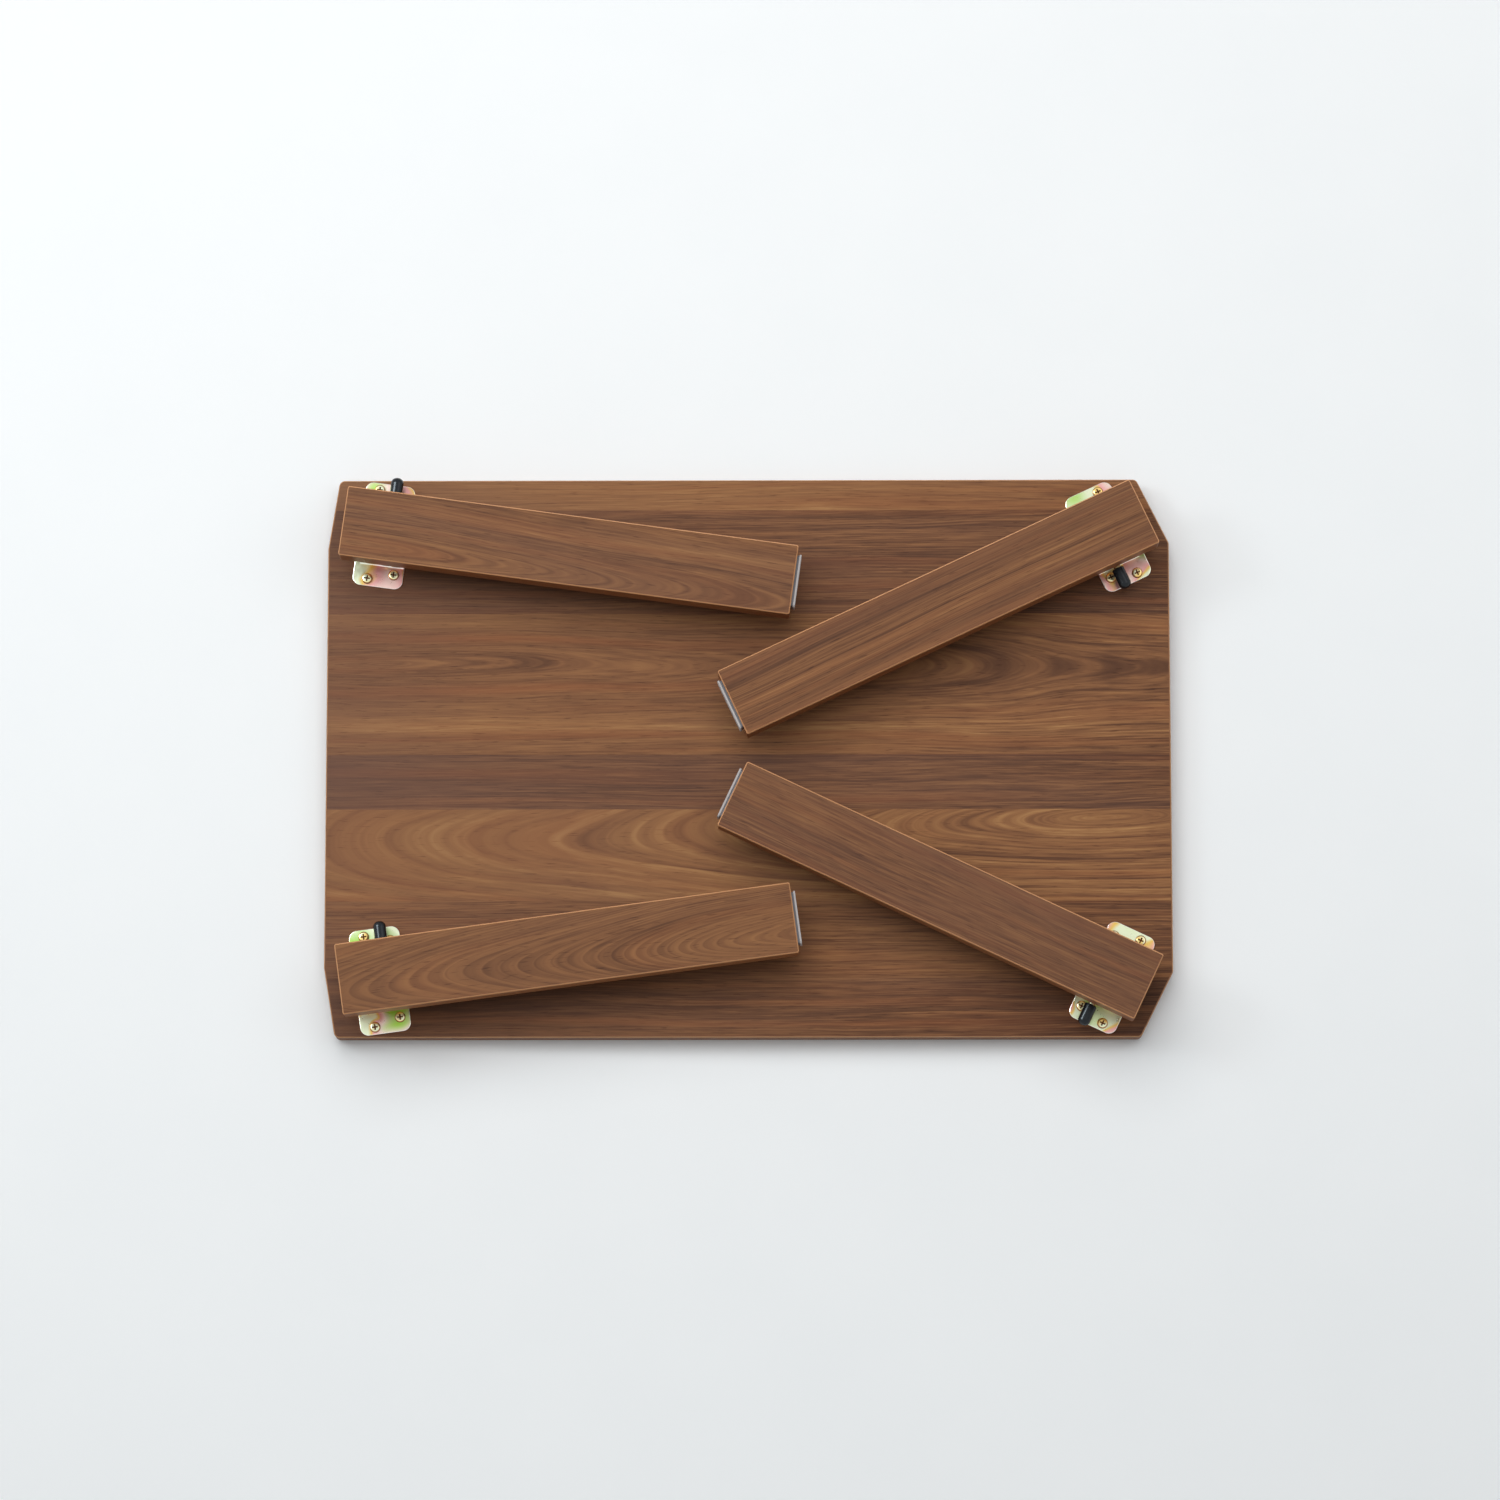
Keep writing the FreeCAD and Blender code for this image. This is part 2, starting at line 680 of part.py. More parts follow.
def build_leg(corner):
    body = new_body(f"{corner}_leg")
    board = new_sketch(body, "XY_Plane", "board", leg_gap)
    half = "Sizes.leg_width / 2"
    add_rectangle(board, "0", "Sizes.leg_length", f"-{half}", half)
    pad(body, board, "Sizes.leg_thick")
    dress(body, "Fillet", is_upright, "Sizes.leg_corner_round")
    dress(body, "Chamfer", lies_at(f"{leg_gap} + Sizes.leg_thick"), "Sizes.leg_bevel")
    screws = new_sketch(body, "XY_Plane", "screw_holes", leg_gap)
    for u, v in bracket_screw_spots():
        add_circle(screws, u, v, "Sizes.leg_shank_radius + Sizes.shank_clear")
    depth = "Sizes.leg_shank_length - Sizes.bracket_thick + Sizes.hole_spare"
    pocket(body, screws, f"2 * ({depth})")
    pins = new_sketch(body, "YZ_Plane", "glide_holes", "Sizes.leg_length")
    for side in ("-", ""):
        add_circle(
            pins, f"{side}Sizes.glide_pin_space / 2", leg_middle_z,
            "Sizes.glide_pin_radius + Sizes.shank_clear",
        )
    pocket(body, pins, "2 * (Sizes.glide_pin_length + Sizes.hole_spare)")
    body.Placement = corner_place(corner)
    keep(body, body.Label)


def add_block(body, name, start, thick, half_v, half_z):
    sketch = new_sketch(body, "YZ_Plane", name, start)
    add_rectangle(
        sketch,
        f"-{half_v}", half_v,
        f"{leg_middle_z} - {half_z}", f"{leg_middle_z} + {half_z}",
    )
    pad(body, sketch, thick)


def runs_along_leg(edge):
    box = edge.BoundBox
    return max(box.YLength, box.ZLength) < Part.Precision.confusion()


def build_foot_glide(corner):
    body = new_body(f"{corner}_foot_glide")
    add_block(
        body, "plate", "Sizes.leg_length", "Sizes.glide_thick",
        "(Sizes.glide_length / 2)", "(Sizes.glide_width / 2)",
    )
    dress(body, "Fillet", runs_along_leg, "Sizes.glide_round")
    pins = new_sketch(body, "YZ_Plane", "pins", "Sizes.leg_length - Sizes.glide_pin_length")
    for side in ("-", ""):
        add_circle(pins, f"{side}Sizes.glide_pin_space / 2", leg_middle_z, "Sizes.glide_pin_radius")
    pad(body, pins, "Sizes.glide_pin_length")
    body.Placement = corner_place(corner)
    keep(body, body.Label)


def build_foot_pad(corner):
    body = new_body(f"{corner}_foot_pad")
    add_block(
        body, "sole", "Sizes.leg_length + Sizes.glide_thick", "Sizes.pad_thick",
        "(Sizes.glide_length / 2 + Sizes.pad_border)", "(Sizes.glide_width / 2 + Sizes.pad_border)",
    )
    dress(body, "Fillet", runs_along_leg, "Sizes.glide_round + Sizes.pad_border")
    body.Placement = corner_place(corner)
    keep(body, body.Label)


# Wood screws: one is turned, and copies of it go to their holes.


def build_screw(name):
    head = f"Sizes.{name}_head_radius"
    thick = f"Sizes.{name}_head_thick"
    shank = f"Sizes.{name}_shank_radius"
    length = f"Sizes.{name}_shank_length"
    body = new_body(f"{name}_screw")
    sketch = new_sketch(body, "XZ_Plane", "profile")
    add_outline(sketch, [
        ("0", f"-{length}"),
        (shank, f"-{length} + {point_share} * {shank}"),
        (shank, "0"),
        (head, "0"),
        (head, thick),
        ("0", thick),
    ])
    revolve(body, sketch, "V_Axis")
    top = size(thick)
    near = size("Sizes.seat_clear")
    dress(
        body, "Fillet",
        lambda edge: edge.BoundBox.ZLength < near and abs(edge.BoundBox.ZMin - top) < near,
        f"{head} * {dome_share}",
    )
    recess = new_sketch(body, "XY_Plane", "recess", thick)
    half = "Sizes.recess_span / 2"
    slim = "Sizes.recess_width / 2"
    add_outline(recess, [
        (half, f"-{slim}"), (half, slim), (slim, slim), (slim, half),
        (f"-{slim}", half), (f"-{slim}", slim), (f"-{half}", slim), (f"-{half}", f"-{slim}"),
        (f"-{slim}", f"-{slim}"), (f"-{slim}", f"-{half}"), (slim, f"-{half}"), (slim, f"-{slim}"),
    ])
    pocket(body, recess, "2 * Sizes.recess_depth")
    return body


# Puts a screw at each spot. Heads face up from the base plate and down from the bracket.
def set_screws(label, screw, corner, spots, z, turned_over):
    copies = []
    for u, v in spots:
        place = FreeCAD.Placement(FreeCAD.Vector(size(u), size(v), size(z)), FreeCAD.Rotation())
        if turned_over:
            place = place.multiply(FreeCAD.Placement(
                FreeCAD.Vector(), FreeCAD.Rotation(FreeCAD.Vector(1, 0, 0), 180)
            ))
        copy = screw.Shape.copy()
        copy.Placement = place
        copies.append(copy)
    feature_of(label, Part.makeCompound(copies), corner_place(corner))


build_tabletop()
base_screw = build_screw("base")
leg_screw = build_screw("leg")
for corner in places:
    build_hinge_base(corner)
    set_screws(f"{corner}_base_screws", base_screw, corner, base_screw_spots(), "Sizes.plate_thick", False)
    build_pivot_pin(corner)
    build_lock_spring(corner)
    build_lock_rod(corner)
    build_lever_cap(corner)
    build_leg_bracket(corner)
    set_screws(
        f"{corner}_bracket_screws", leg_screw, corner, bracket_screw_spots(),
        f"{leg_gap} - Sizes.bracket_thick", True,
    )
    build_leg(corner)
    build_foot_glide(corner)
    build_foot_pad(corner)
doc.recompute()

for item in doc.Objects:
    if "Invalid" in item.State or "Error" in item.State:
        raise ValueError(f"{item.Label} did not build: {item.State}")
for node in nodes:
    if node.Shape.isNull() or not node.Shape.isValid():
        raise ValueError(f"{node.Label} has no valid shape")

os.makedirs("parts", exist_ok=True)
for node in nodes:
    node.Shape.exportStep(f"parts/{node.Label}.step")
print(f"{len(nodes)} sub-parts written")
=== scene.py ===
import json
import math

import bmesh
import bpy
from mathutils import Matrix, Vector


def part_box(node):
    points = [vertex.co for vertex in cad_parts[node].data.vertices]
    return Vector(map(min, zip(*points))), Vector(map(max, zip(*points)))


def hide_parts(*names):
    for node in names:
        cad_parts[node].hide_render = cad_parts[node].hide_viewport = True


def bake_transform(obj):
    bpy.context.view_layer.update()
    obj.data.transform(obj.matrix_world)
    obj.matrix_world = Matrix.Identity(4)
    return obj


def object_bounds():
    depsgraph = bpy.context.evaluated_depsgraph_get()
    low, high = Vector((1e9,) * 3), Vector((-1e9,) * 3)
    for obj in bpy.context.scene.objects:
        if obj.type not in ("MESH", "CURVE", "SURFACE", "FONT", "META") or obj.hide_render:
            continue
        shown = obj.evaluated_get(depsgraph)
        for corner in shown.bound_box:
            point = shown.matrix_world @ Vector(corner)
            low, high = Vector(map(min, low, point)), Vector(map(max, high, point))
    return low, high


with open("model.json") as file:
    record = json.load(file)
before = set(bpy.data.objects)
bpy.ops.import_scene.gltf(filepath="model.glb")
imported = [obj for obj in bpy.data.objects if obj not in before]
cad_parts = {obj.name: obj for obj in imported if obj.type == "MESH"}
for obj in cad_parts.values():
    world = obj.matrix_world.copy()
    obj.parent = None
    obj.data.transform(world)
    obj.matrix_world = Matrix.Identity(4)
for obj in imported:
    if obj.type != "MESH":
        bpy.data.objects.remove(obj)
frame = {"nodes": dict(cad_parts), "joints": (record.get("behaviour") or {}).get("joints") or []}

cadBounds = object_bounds()
cornerNames = ("left_rear", "left_front", "right_rear", "right_front")
jointsByName = {joint["name"]: joint for joint in frame["joints"]}
up = Vector((0, 0, 1))
print("frame loaded:", len(frame["nodes"]), "nodes")


# Colours are written as they look on a screen, 0 to 255, and turned into linear light here.
def tone(red, green, blue):
    linear = []
    for value in (red, green, blue):
        share = value / 255
        linear.append(share / 12.92 if share <= 0.04045 else ((share + 0.055) / 1.055) ** 2.4)
    return (*linear, 1.0)


def grey(level):
    return (level, level, level, 1.0)


class Wire:  # one output of a shader node, with its maths
    def __init__(self, finish, socket):
        self.finish = finish
        self.socket = socket

    def __add__(self, other):
        return self.finish.math("ADD", self, other)

    __radd__ = __add__

    def __sub__(self, other):
        return self.finish.math("SUBTRACT", self, other)

    def __rsub__(self, other):
        return self.finish.math("SUBTRACT", other, self)

    def __mul__(self, other):
        return self.finish.math("MULTIPLY", self, other)

    __rmul__ = __mul__

    def __gt__(self, other):
        return self.finish.math("GREATER_THAN", self, other)

    def __lt__(self, other):
        return self.finish.math("LESS_THAN", self, other)

    def __abs__(self):
        return self.finish.math("ABSOLUTE", self)


class Finish:  # the nodes of one material, or of the world
    def __init__(self, name, owner=None):
        self.material = owner or bpy.data.materials.new(name)
        self.material.use_nodes = True
        self.tree = self.material.node_tree
        self.tree.nodes.clear()

    def node(self, kind, settings=None, sockets=None, output=0):
        made = self.tree.nodes.new(kind)
        for name, value in (settings or {}).items():
            if name == "stops":
                self.setStops(made.color_ramp, value)
            elif name == "steps":
                made.color_ramp.interpolation = "CONSTANT"
                self.setStops(made.color_ramp, value)
            else:
                setattr(made, name, value)
        for name, value in (sockets or {}).items():
            if isinstance(value, Wire):
                self.tree.links.new(value.socket, made.inputs[name])
            else:
                made.inputs[name].default_value = value
        if isinstance(output, tuple):
            return [Wire(self, made.outputs[each]) for each in output]
        return Wire(self, made.outputs[output]) if output is not None else None

    def setStops(self, ramp, stops):
        while len(ramp.elements) < len(stops):
            ramp.elements.new(1.0)
        for element, (place, colour) in zip(ramp.elements, stops):
            element.position = place
            element.color = colour

    def math(self, operation, *values):
        return self.node("ShaderNodeMath", {"operation": operation}, dict(enumerate(values)))

    def ramp(self, factor, *stops):
        return self.node("ShaderNodeValToRGB", {"stops": stops}, {"Fac": factor})

    def steps(self, factor, *stops):
        return self.node("ShaderNodeValToRGB", {"steps": stops}, {"Fac": factor})

    def mix(self, factor, first, second, blend="MIX"):
        settings = {"data_type": "RGBA", "blend_type": blend}
        return self.node("ShaderNodeMix", settings, {0: factor, 6: first, 7: second}, 2)

    def noise(self, place, detail=2.0, roughness=0.5, distortion=0.0, scale=1.0):
        sockets = {"Vector": place, "Scale": scale, "Detail": detail, "Roughness": roughness}
        return self.node("ShaderNodeTexNoise", {}, {**sockets, "Distortion": distortion})

    def scaled(self, place, scales, shift=(0, 0, 0)):
        return self.node("ShaderNodeMapping", {}, {"Vector": place, "Scale": scales, "Location": shift})

    def turned(self, place, turn):
        return self.node("ShaderNodeMapping", {}, {"Vector": place, "Rotation": (0, 0, turn)})

    def split(self, vector):
        return self.node("ShaderNodeSeparateXYZ", {}, {"Vector": vector}, (0, 1, 2))

    def join(self, x, y, z):
        return self.node("ShaderNodeCombineXYZ", {}, {0: x, 1: y, 2: z})

    def span(self, value, low, high, newLow=0.0, newHigh=1.0):
        sockets = {0: value, 1: low, 2: high, 3: newLow, 4: newHigh}
        return self.node("ShaderNodeMapRange", {"clamp": True}, sockets)

    def within(self, share, ends):  # from the first end to the last as the share goes from 0 to 1
        return share * (ends[1] - ends[0]) + ends[0]

    def coordinates(self, kind="Object"):
        return self.node("ShaderNodeTexCoord", {}, {}, kind)

    def bump(self, height, strength, distance):
        return self.node("ShaderNodeBump", {}, {"Height": height, "Strength": strength, "Distance": distance})

    def surface(self, sockets):
        shader = self.node("ShaderNodeBsdfPrincipled", {}, sockets)
        self.node("ShaderNodeOutputMaterial", {}, {"Surface": shader}, None)
        return self.material


# Walnut

walnut = {
    "tones": (    # from the darkest level of the figure to the lightest
        (0.0, tone(74, 48, 36)), (0.3, tone(105, 70, 49)), (0.5, tone(134, 91, 61)),
        (0.7, tone(154, 108, 70)), (1.0, tone(188, 141, 92)),
    ),
    "purple": tone(108, 79, 68),
    "ember": tone(150, 90, 56),
    "ring": ((0.0, 0.1), (0.12, 0.9), (0.5, 0.65), (0.88, 0.35), (1.0, 0.1)),    # how light across one ring
    "wobble": ((2.4, 9, 9), 0.02),     # bends of the grain: how often, and how far in metres
    "sway": ((3.1, 7, 7), 0.02),
    "broad": ((1.7, 60, 3), 0.34),     # streaks along the grain: how often, and their share of the tone
    "narrow": ((8, 240, 3), 0.5),
    "fibre": ((38, 900, 3), 0.8),
    "cloud": ((4.5, 14, 3), 0.26),
    "darkLine": ((1.5, 170, 3), 0.22, 0.035),    # the last number is half the line's width in noise
    "lightLine": ((4, 310, 3), -0.16, 0.03),
    "zone": ((2, 22, 3), 0.45, 0.6),             # where the lines show: how often, and the noise's span
    "pore": (75, 1200, 1200),
    "poreSpan": (0.64, 0.72),    # noise at which a pore begins, and at which it is full
    "poreShare": 0.2,
    "tint": ((3.3, 18, 3), 1.0),
    "emberPatch": ((4, 120, 3), 0.5, 0.8),
    "emberShare": 0.4,
    "fadeIn": 0.07,    # metres in which a streak comes up
    "roughness": 0.42,
    "poreRoughness": 0.2,
    "poreDepth": 0.00008,
    "poreStrength": 0.5,
    "shine": 0.1,
}


def unevenness(finish, place, name, shift=(0, 0, 0)):  # noise about zero, by its entry in walnut
    scales, share = walnut[name]
    return (finish.noise(finish.scaled(place, scales, shift), roughness=0.55) - 0.5) * share


def grainLine(finish, grain, name):  # thin lines, like level lines of a stretched noise
    scales, share, width = walnut[name]
    distance = abs(finish.noise(finish.scaled(grain, scales), detail=1.0) - 0.5)
    return finish.span(distance, 0.0, width, share, 0.0)


def patches(finish, grain, name):  # 0 to 1, by its entry in walnut
    scales, low, high = walnut[name]
    return finish.span(finish.noise(finish.scaled(grain, scales), detail=1.0), low, high)


# A board's growth rings are cones round a pith that runs along it. They meet the face in long
# arches where the pith comes near it, and in straight lines elsewhere. In a look, pith and tilt say
# where the pith runs, crown where along the board it comes nearest, slope how fast it leaves from
# there, and rings how many there are in a metre.
def walnutGrain(finish, place, look, shift=(0, 0, 0)):
    along, across, through = finish.split(place)
    wobble = unevenness(finish, place, "wobble", shift)
    sway = unevenness(finish, place, "sway", (shift[1] + 5, shift[2], shift[0]))    # elsewhere in the noise
    sideways = across + through + wobble - look["pith"] - along * look["tilt"]
    depth = (along - look["crown"]) * look["slope"] + sway
    squared = sideways * sideways + depth * depth
    radius = finish.math("SQRT", squared)
    ringStops = [(at, grey(light)) for at, light in walnut["ring"]]
    ring = finish.ramp(finish.math("FRACT", radius * look["rings"]), *ringStops)
    grain = finish.join(along * look["stretch"], radius, look["order"])
    pore = finish.noise(finish.scaled(place, walnut["pore"], shift), detail=1.0)
    pores = finish.span(pore, *walnut["poreSpan"])
    lines = grainLine(finish, grain, "darkLine") + grainLine(finish, grain, "lightLine")
    figure = (
        (ring - 0.5) * look["ringShare"]
        + unevenness(finish, grain, "narrow")
        + unevenness(finish, grain, "fibre")
        - lines * patches(finish, grain, "zone")
    )
    level = (
        figure * look["contrast"]
        + unevenness(finish, grain, "broad")
        + unevenness(finish, grain, "cloud")
        - pores * walnut["poreShare"]
        + look["level"]
    )
    plain = finish.ramp(level, *walnut["tones"])
    ember = patches(finish, grain, "emberPatch") * walnut["emberShare"]
    warm = finish.mix(ember, plain, walnut["ember"])
    tint = finish.span(unevenness(finish, grain, "tint") + look["purple"], 0.0, 1.0)
    return finish.mix(tint, warm, walnut["purple"]), pores


# Each streak runs along the grain: its place across, half its width, how much lighter it is, and
# where along the piece it begins.
def streaked(finish, level, along, across, streaks):
    for middle, halfWidth, lift, start in streaks:
        fadeIn = finish.span(along, start, start + walnut["fadeIn"])
        level = level + finish.span(abs(across - middle), 0.0, halfWidth, lift, 0.0) * fadeIn
    return level


def woodSurface(finish, colour, pores):
    return finish.surface({
        "Base Color": colour,
        "Roughness": pores * walnut["poreRoughness"] + walnut["roughness"],
        "Normal": finish.bump(1 - pores, walnut["poreStrength"], walnut["poreDepth"]),
        "Specular IOR Level": walnut["shine"],
    })


# The tabletop's facings are printed like a row of glued planks, listed from front to rear. Places
# and widths are in metres, and the pith's place is from the middle of the tabletop.
planks = {
    "width": (0.041, 0.055, 0.066, 0.039, 0.102, 0.074, 0.023),
    "level": (0.41, 0.48, 0.59, 0.39, 0.52, 0.41, 0.62),
    "paintedShadeRight": (0.9, 0.7, 0.05, 0.3, 0.35, 0.5, 0.1),    # painted shade: level lost per metre right of the start below, darkening the right end where the light falls off
    "paintedShadeStart": 0.05,
    "purple": (0.1, 0.05, 0.0, 0.25, 0.0, 0.2, 0.0),
    "pith": (-0.32, 0.02, -0.054, 0.15, 0.066, 0.2, 0.3),
    "tilt": (0, 0, 0.03, 0, 0, 0, 0),
    "crown": (0.1, 0.3, 0.27, 0.2, -0.245, 0.0, 0.1),
    "slope": (0.05, 0.05, 0.12, 0.05, 0.06, 0.05, 0.05),
    "rings": (120, 120, 148, 150, 110, 110, 130),
    "ringShare": (0.1, 0.1, 0.36, 0.1, 0.1, 0.1, 0.1),
    "contrast": (0.9, 1.0, 0.8, 1.0, 0.9, 0.95, 0.75),
    "streaks": (
        (0.021, 0.008, 0.19, -0.4), (0.096, 0.006, 0.08, -0.4), (-0.098, 0.003, 0.1, -0.4),
        (0.001, 0.0015, -0.14, -0.4), (-0.146, 0.02, 0.09, 0.03),
    ),
    "drift": -0.8,      # purple gained per metre towards the right; below 0, so the left end turns greyer and more purple, partly a painted sheen there
    "liven": 0.9,       # contrast gained per metre towards the right
    "stretch": 0.75,    # below 1 the figure gets longer along the grain
    "apart": 0.7,       # metres between the parts of the figure that neighbouring planks show
}
plankLooks = ("level", "paintedShadeRight", "purple", "pith", "tilt", "crown", "slope", "rings", "ringShare", "contrast")


def plankSteps(finish, across, values):  # one value for each plank; the ramp holds 0 to 1
    low, high = min(values), max(values)
    width = sum(planks["width"])
    stops = []
    start = 0.0
    for plankWidth, value in zip(planks["width"], values):
        stops.append((start / width, grey((value - low) / (high - low))))
        start += plankWidth
    return finish.steps(across * (1 / width) + 0.5, *stops) * (high - low) + low


def facingFinish(name, shift):
    finish = Finish(name)
    along, across = finish.split(finish.coordinates())[:2]
    look = {key: plankSteps(finish, across, planks[key]) for key in plankLooks}
    look["order"] = plankSteps(finish, across, range(len(planks["width"])))
    look["stretch"] = planks["stretch"]
    # partly painted sheen: the tint turns greyer and more purple towards the left end
    look["purple"] = look["purple"] + along * planks["drift"]
    look["contrast"] = look["contrast"] + along * planks["liven"]
    # painted shade: the planks darken towards the right end, where the light falls off
    toRight = finish.math("MAXIMUM", along - planks["paintedShadeStart"], 0.0)
    level = look["level"] - toRight * look["paintedShadeRight"]
    look["level"] = streaked(finish, level, along, across, planks["streaks"])
    ownPart = look["order"] * planks["apart"]
    look["pith"] = look["pith"] + ownPart
    colour, pores = walnutGrain(finish, finish.join(along, across + ownPart, 0.0), look, shift)
    return woodSurface(finish, colour, pores)


band = {
    "look": {
        "level": 0.42, "purple": 0.1, "contrast": 0.8, "stretch": 1, "order": 3,
        "pith": 0.5, "tilt": 0, "crown": 0, "slope": 0.02, "rings": 300, "ringShare": 0.1,
    },
    # rim: the lighter line on the bevelled edges, partly the wrap's lighter colour and partly a painted
    # highlight
    "rim": tone(204, 156, 116),
    "rimShare": 0.8,
    "rimFlatness": (0.35, 0.93),    # upright faces have 0 and level ones 1
    "side": tone(133, 86, 53),
    "sideShare": 0.35,
}


def flatness(finish):  # 1 on level faces, 0 on upright ones
    return abs(finish.split(finish.coordinates("Normal"))[2])


def between(value, low, high):
    return (value > low) * (value < high)


def edgeBandFinish():
    finish = Finish("edgeBand")
    along, across, through = finish.split(finish.coordinates())
    colour, pores = walnutGrain(finish, finish.join(along + across, through, 0.0), band["look"])
    # the bevels are lightened towards the rim colour: partly the wrap's colour, partly a painted highlight
    rim = between(flatness(finish), *band["rimFlatness"]) * band["rimShare"]
    colour = finish.mix(band["sideShare"], colour, band["side"])
    return woodSurface(finish, finish.mix(rim, colour, band["rim"]), pores)


# The pith's place is given from each leg's walnut face.
legs = {
    # rim: the lighter line on the bevelled edges of the face, partly the wrap's lighter colour and partly a
    # painted highlight
    "rim": tone(206, 150, 106),
    "rimFlatness": (0.35, 0.93),
    # side: a painted orange glow of light bounced onto the upright side faces, mixed over the walnut
    "side": tone(146, 84, 40),
    "sideShare": 0.5,
    "sideFlatness": 0.35,    # the most that a side face has
    "order": 11,             # keeps the legs' figure apart from the planks'
    "orderStep": 3,
    "left_rear": {
        "level": 0.44, "purple": 0.05, "contrast": 0.8, "stretch": 0.8,
        "pith": -0.016, "tilt": 0, "crown": 0.0, "slope": 0.07, "rings": 200, "ringShare": 0.12,
        "streaks": ((0.009, 0.005, 0.2, 0.12), (0.0, 0.004, -0.12, 0.1)),
    },
    "left_front": {
        "level": 0.49, "purple": 0.0, "contrast": 0.6, "stretch": 0.8,
        "pith": -0.011, "tilt": 0, "crown": 0.38, "slope": 0.12, "rings": 800, "ringShare": 0.3,
        "streaks": (),
    },
    "right_rear": {
        "level": 0.46, "purple": 0.1, "contrast": 0.85, "stretch": 0.35,
        "pith": 0.12, "tilt": 0, "crown": 0.1, "slope": 0.05, "rings": 260, "ringShare": 0.1,
        "streaks": ((0.006, 0.003, 0.16, 0.0), (-0.012, 0.004, -0.14, 0.05)),
    },
    "right_front": {
        "level": 0.41, "purple": 0.25, "contrast": 0.9, "stretch": 0.8,
        "pith": -0.1, "tilt": 0, "crown": 0.2, "slope": 0.05, "rings": 160, "ringShare": 0.1,
        "streaks": ((-0.004, 0.007, 0.1, 0.0),),
    },
}


def cornerFrame(corner):  # the pivot, and the directions to the foot and to the lever
    joint = jointsByName[corner + "_leg_hinge"]
    across = -Vector(joint["axis"])
    return Vector(joint["pos_m"]), across.cross(up), across


def legFinish(corner):
    pivot, towardFoot = cornerFrame(corner)[:2]
    finish = Finish(corner + "Leg")
    fromPivot = finish.scaled(finish.coordinates(), (1, 1, 1), tuple(-pivot))
    place = finish.turned(fromPivot, -math.atan2(towardFoot.y, towardFoot.x))
    look = {**legs[corner], "order": legs["order"] + legs["orderStep"] * cornerNames.index(corner)}
    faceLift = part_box(corner + "_leg")[1].z - pivot.z
    look["pith"] += faceLift
    along, across = finish.split(place)[:2]
    look["level"] = streaked(finish, look["level"], along, across, look["streaks"])
    colour, pores = walnutGrain(finish, place, look, (look["order"], 0, 0))
    flat = flatness(finish)
    # painted glow: upright side faces are tinted orange, as if lit by bounced light
    side = (flat < legs["sideFlatness"]) * legs["sideShare"]
    colour = finish.mix(side, colour, legs["side"])
    # the bevels are lightened towards the rim colour: partly the wrap's colour, partly a painted highlight
    rim = between(flat, *legs["rimFlatness"])
    return woodSurface(finish, finish.mix(rim, colour, legs["rim"]), pores)


chipboard = {    # raw, inside the tabletop
    "colour": tone(190, 158, 118),
    "dusty": tone(150, 118, 82),
    "chip": (260, 700, 700),
    "chipShare": 0.35,
    "dust": 900,
    "dustShare": 0.4,
    "roughness": (0.75, 0.85),
    "depth": 0.0002,
}


def boardFinish():
    finish = Finish("chipboard")
    place = finish.coordinates()
    chips = finish.node("ShaderNodeTexVoronoi", {}, {"Vector": finish.scaled(place, chipboard["chip"])}, 1)
    dust = finish.noise(place, 4.0, 0.7, scale=chipboard["dust"])
    colour = finish.mix(chipboard["chipShare"], chipboard["colour"], chips, "OVERLAY")
    return finish.surface({
        "Base Color": finish.mix(dust * chipboard["dustShare"], colour, chipboard["dusty"]),
        "Roughness": finish.within(dust, chipboard["roughness"]),
        "Normal": finish.bump(dust, 0.5, chipboard["depth"]),
    })


# Metal

chromate = {
    "green": tone(172, 216, 88),
    "pale": tone(236, 240, 204),
    "yellow": tone(238, 196, 100),
    "pink": tone(240, 172, 168),
    "blush": tone(246, 222, 206),
    # rim: a painted highlight on the plates' bent rims
    "rim": tone(252, 251, 242),
    "copper": tone(196, 120, 62),
    "bands": (    # the film's colours in turn
        (0.0, "green"), (0.25, "pale"), (0.4, "pale"), (0.48, "yellow"), (0.56, "pink"),
        (0.75, "blush"), (1.0, "green"),
    ),
    "patch": 34,
    "patchSpan": (0.27, 0.73),
    "rimFlatness": (0.3, 0.96),
    "rimShare": 0.75,
    "earFlatness": 0.3,    # the most that an upright ear has
    "earShare": 0.6,
    "smear": 240,
    "roughness": (0.22, 0.38),
}


def metalSurface(finish, colour):
    smear = finish.noise(finish.coordinates(), 3.0, 0.6, scale=chromate["smear"])
    return finish.surface({
        "Base Color": colour,
        "Metallic": 1.0,
        "Roughness": finish.within(smear, chromate["roughness"]),
    })


# Yellow chromate on zinc: a thin film in slow bands of colour, with a painted highlight on the bent
# rims, and brassy on the upright ears.
def plateFinish():
    finish = Finish("yellowChromate")
    drift = finish.noise(finish.coordinates(), 1.5, 0.4, 0.4, chromate["patch"])
    bands = [(at, chromate[name]) for at, name in chromate["bands"]]
    film = finish.ramp(finish.span(drift, *chromate["patchSpan"]), *bands)
    flat = flatness(finish)
    ear = (flat < chromate["earFlatness"]) * chromate["earShare"]
    # painted highlight: the bent rims are lightened towards the rim colour
    rim = between(flat, *chromate["rimFlatness"]) * chromate["rimShare"]
    brassy = finish.mix(ear, film, chromate["copper"])
    return metalSurface(finish, finish.mix(rim, brassy, chromate["rim"]))


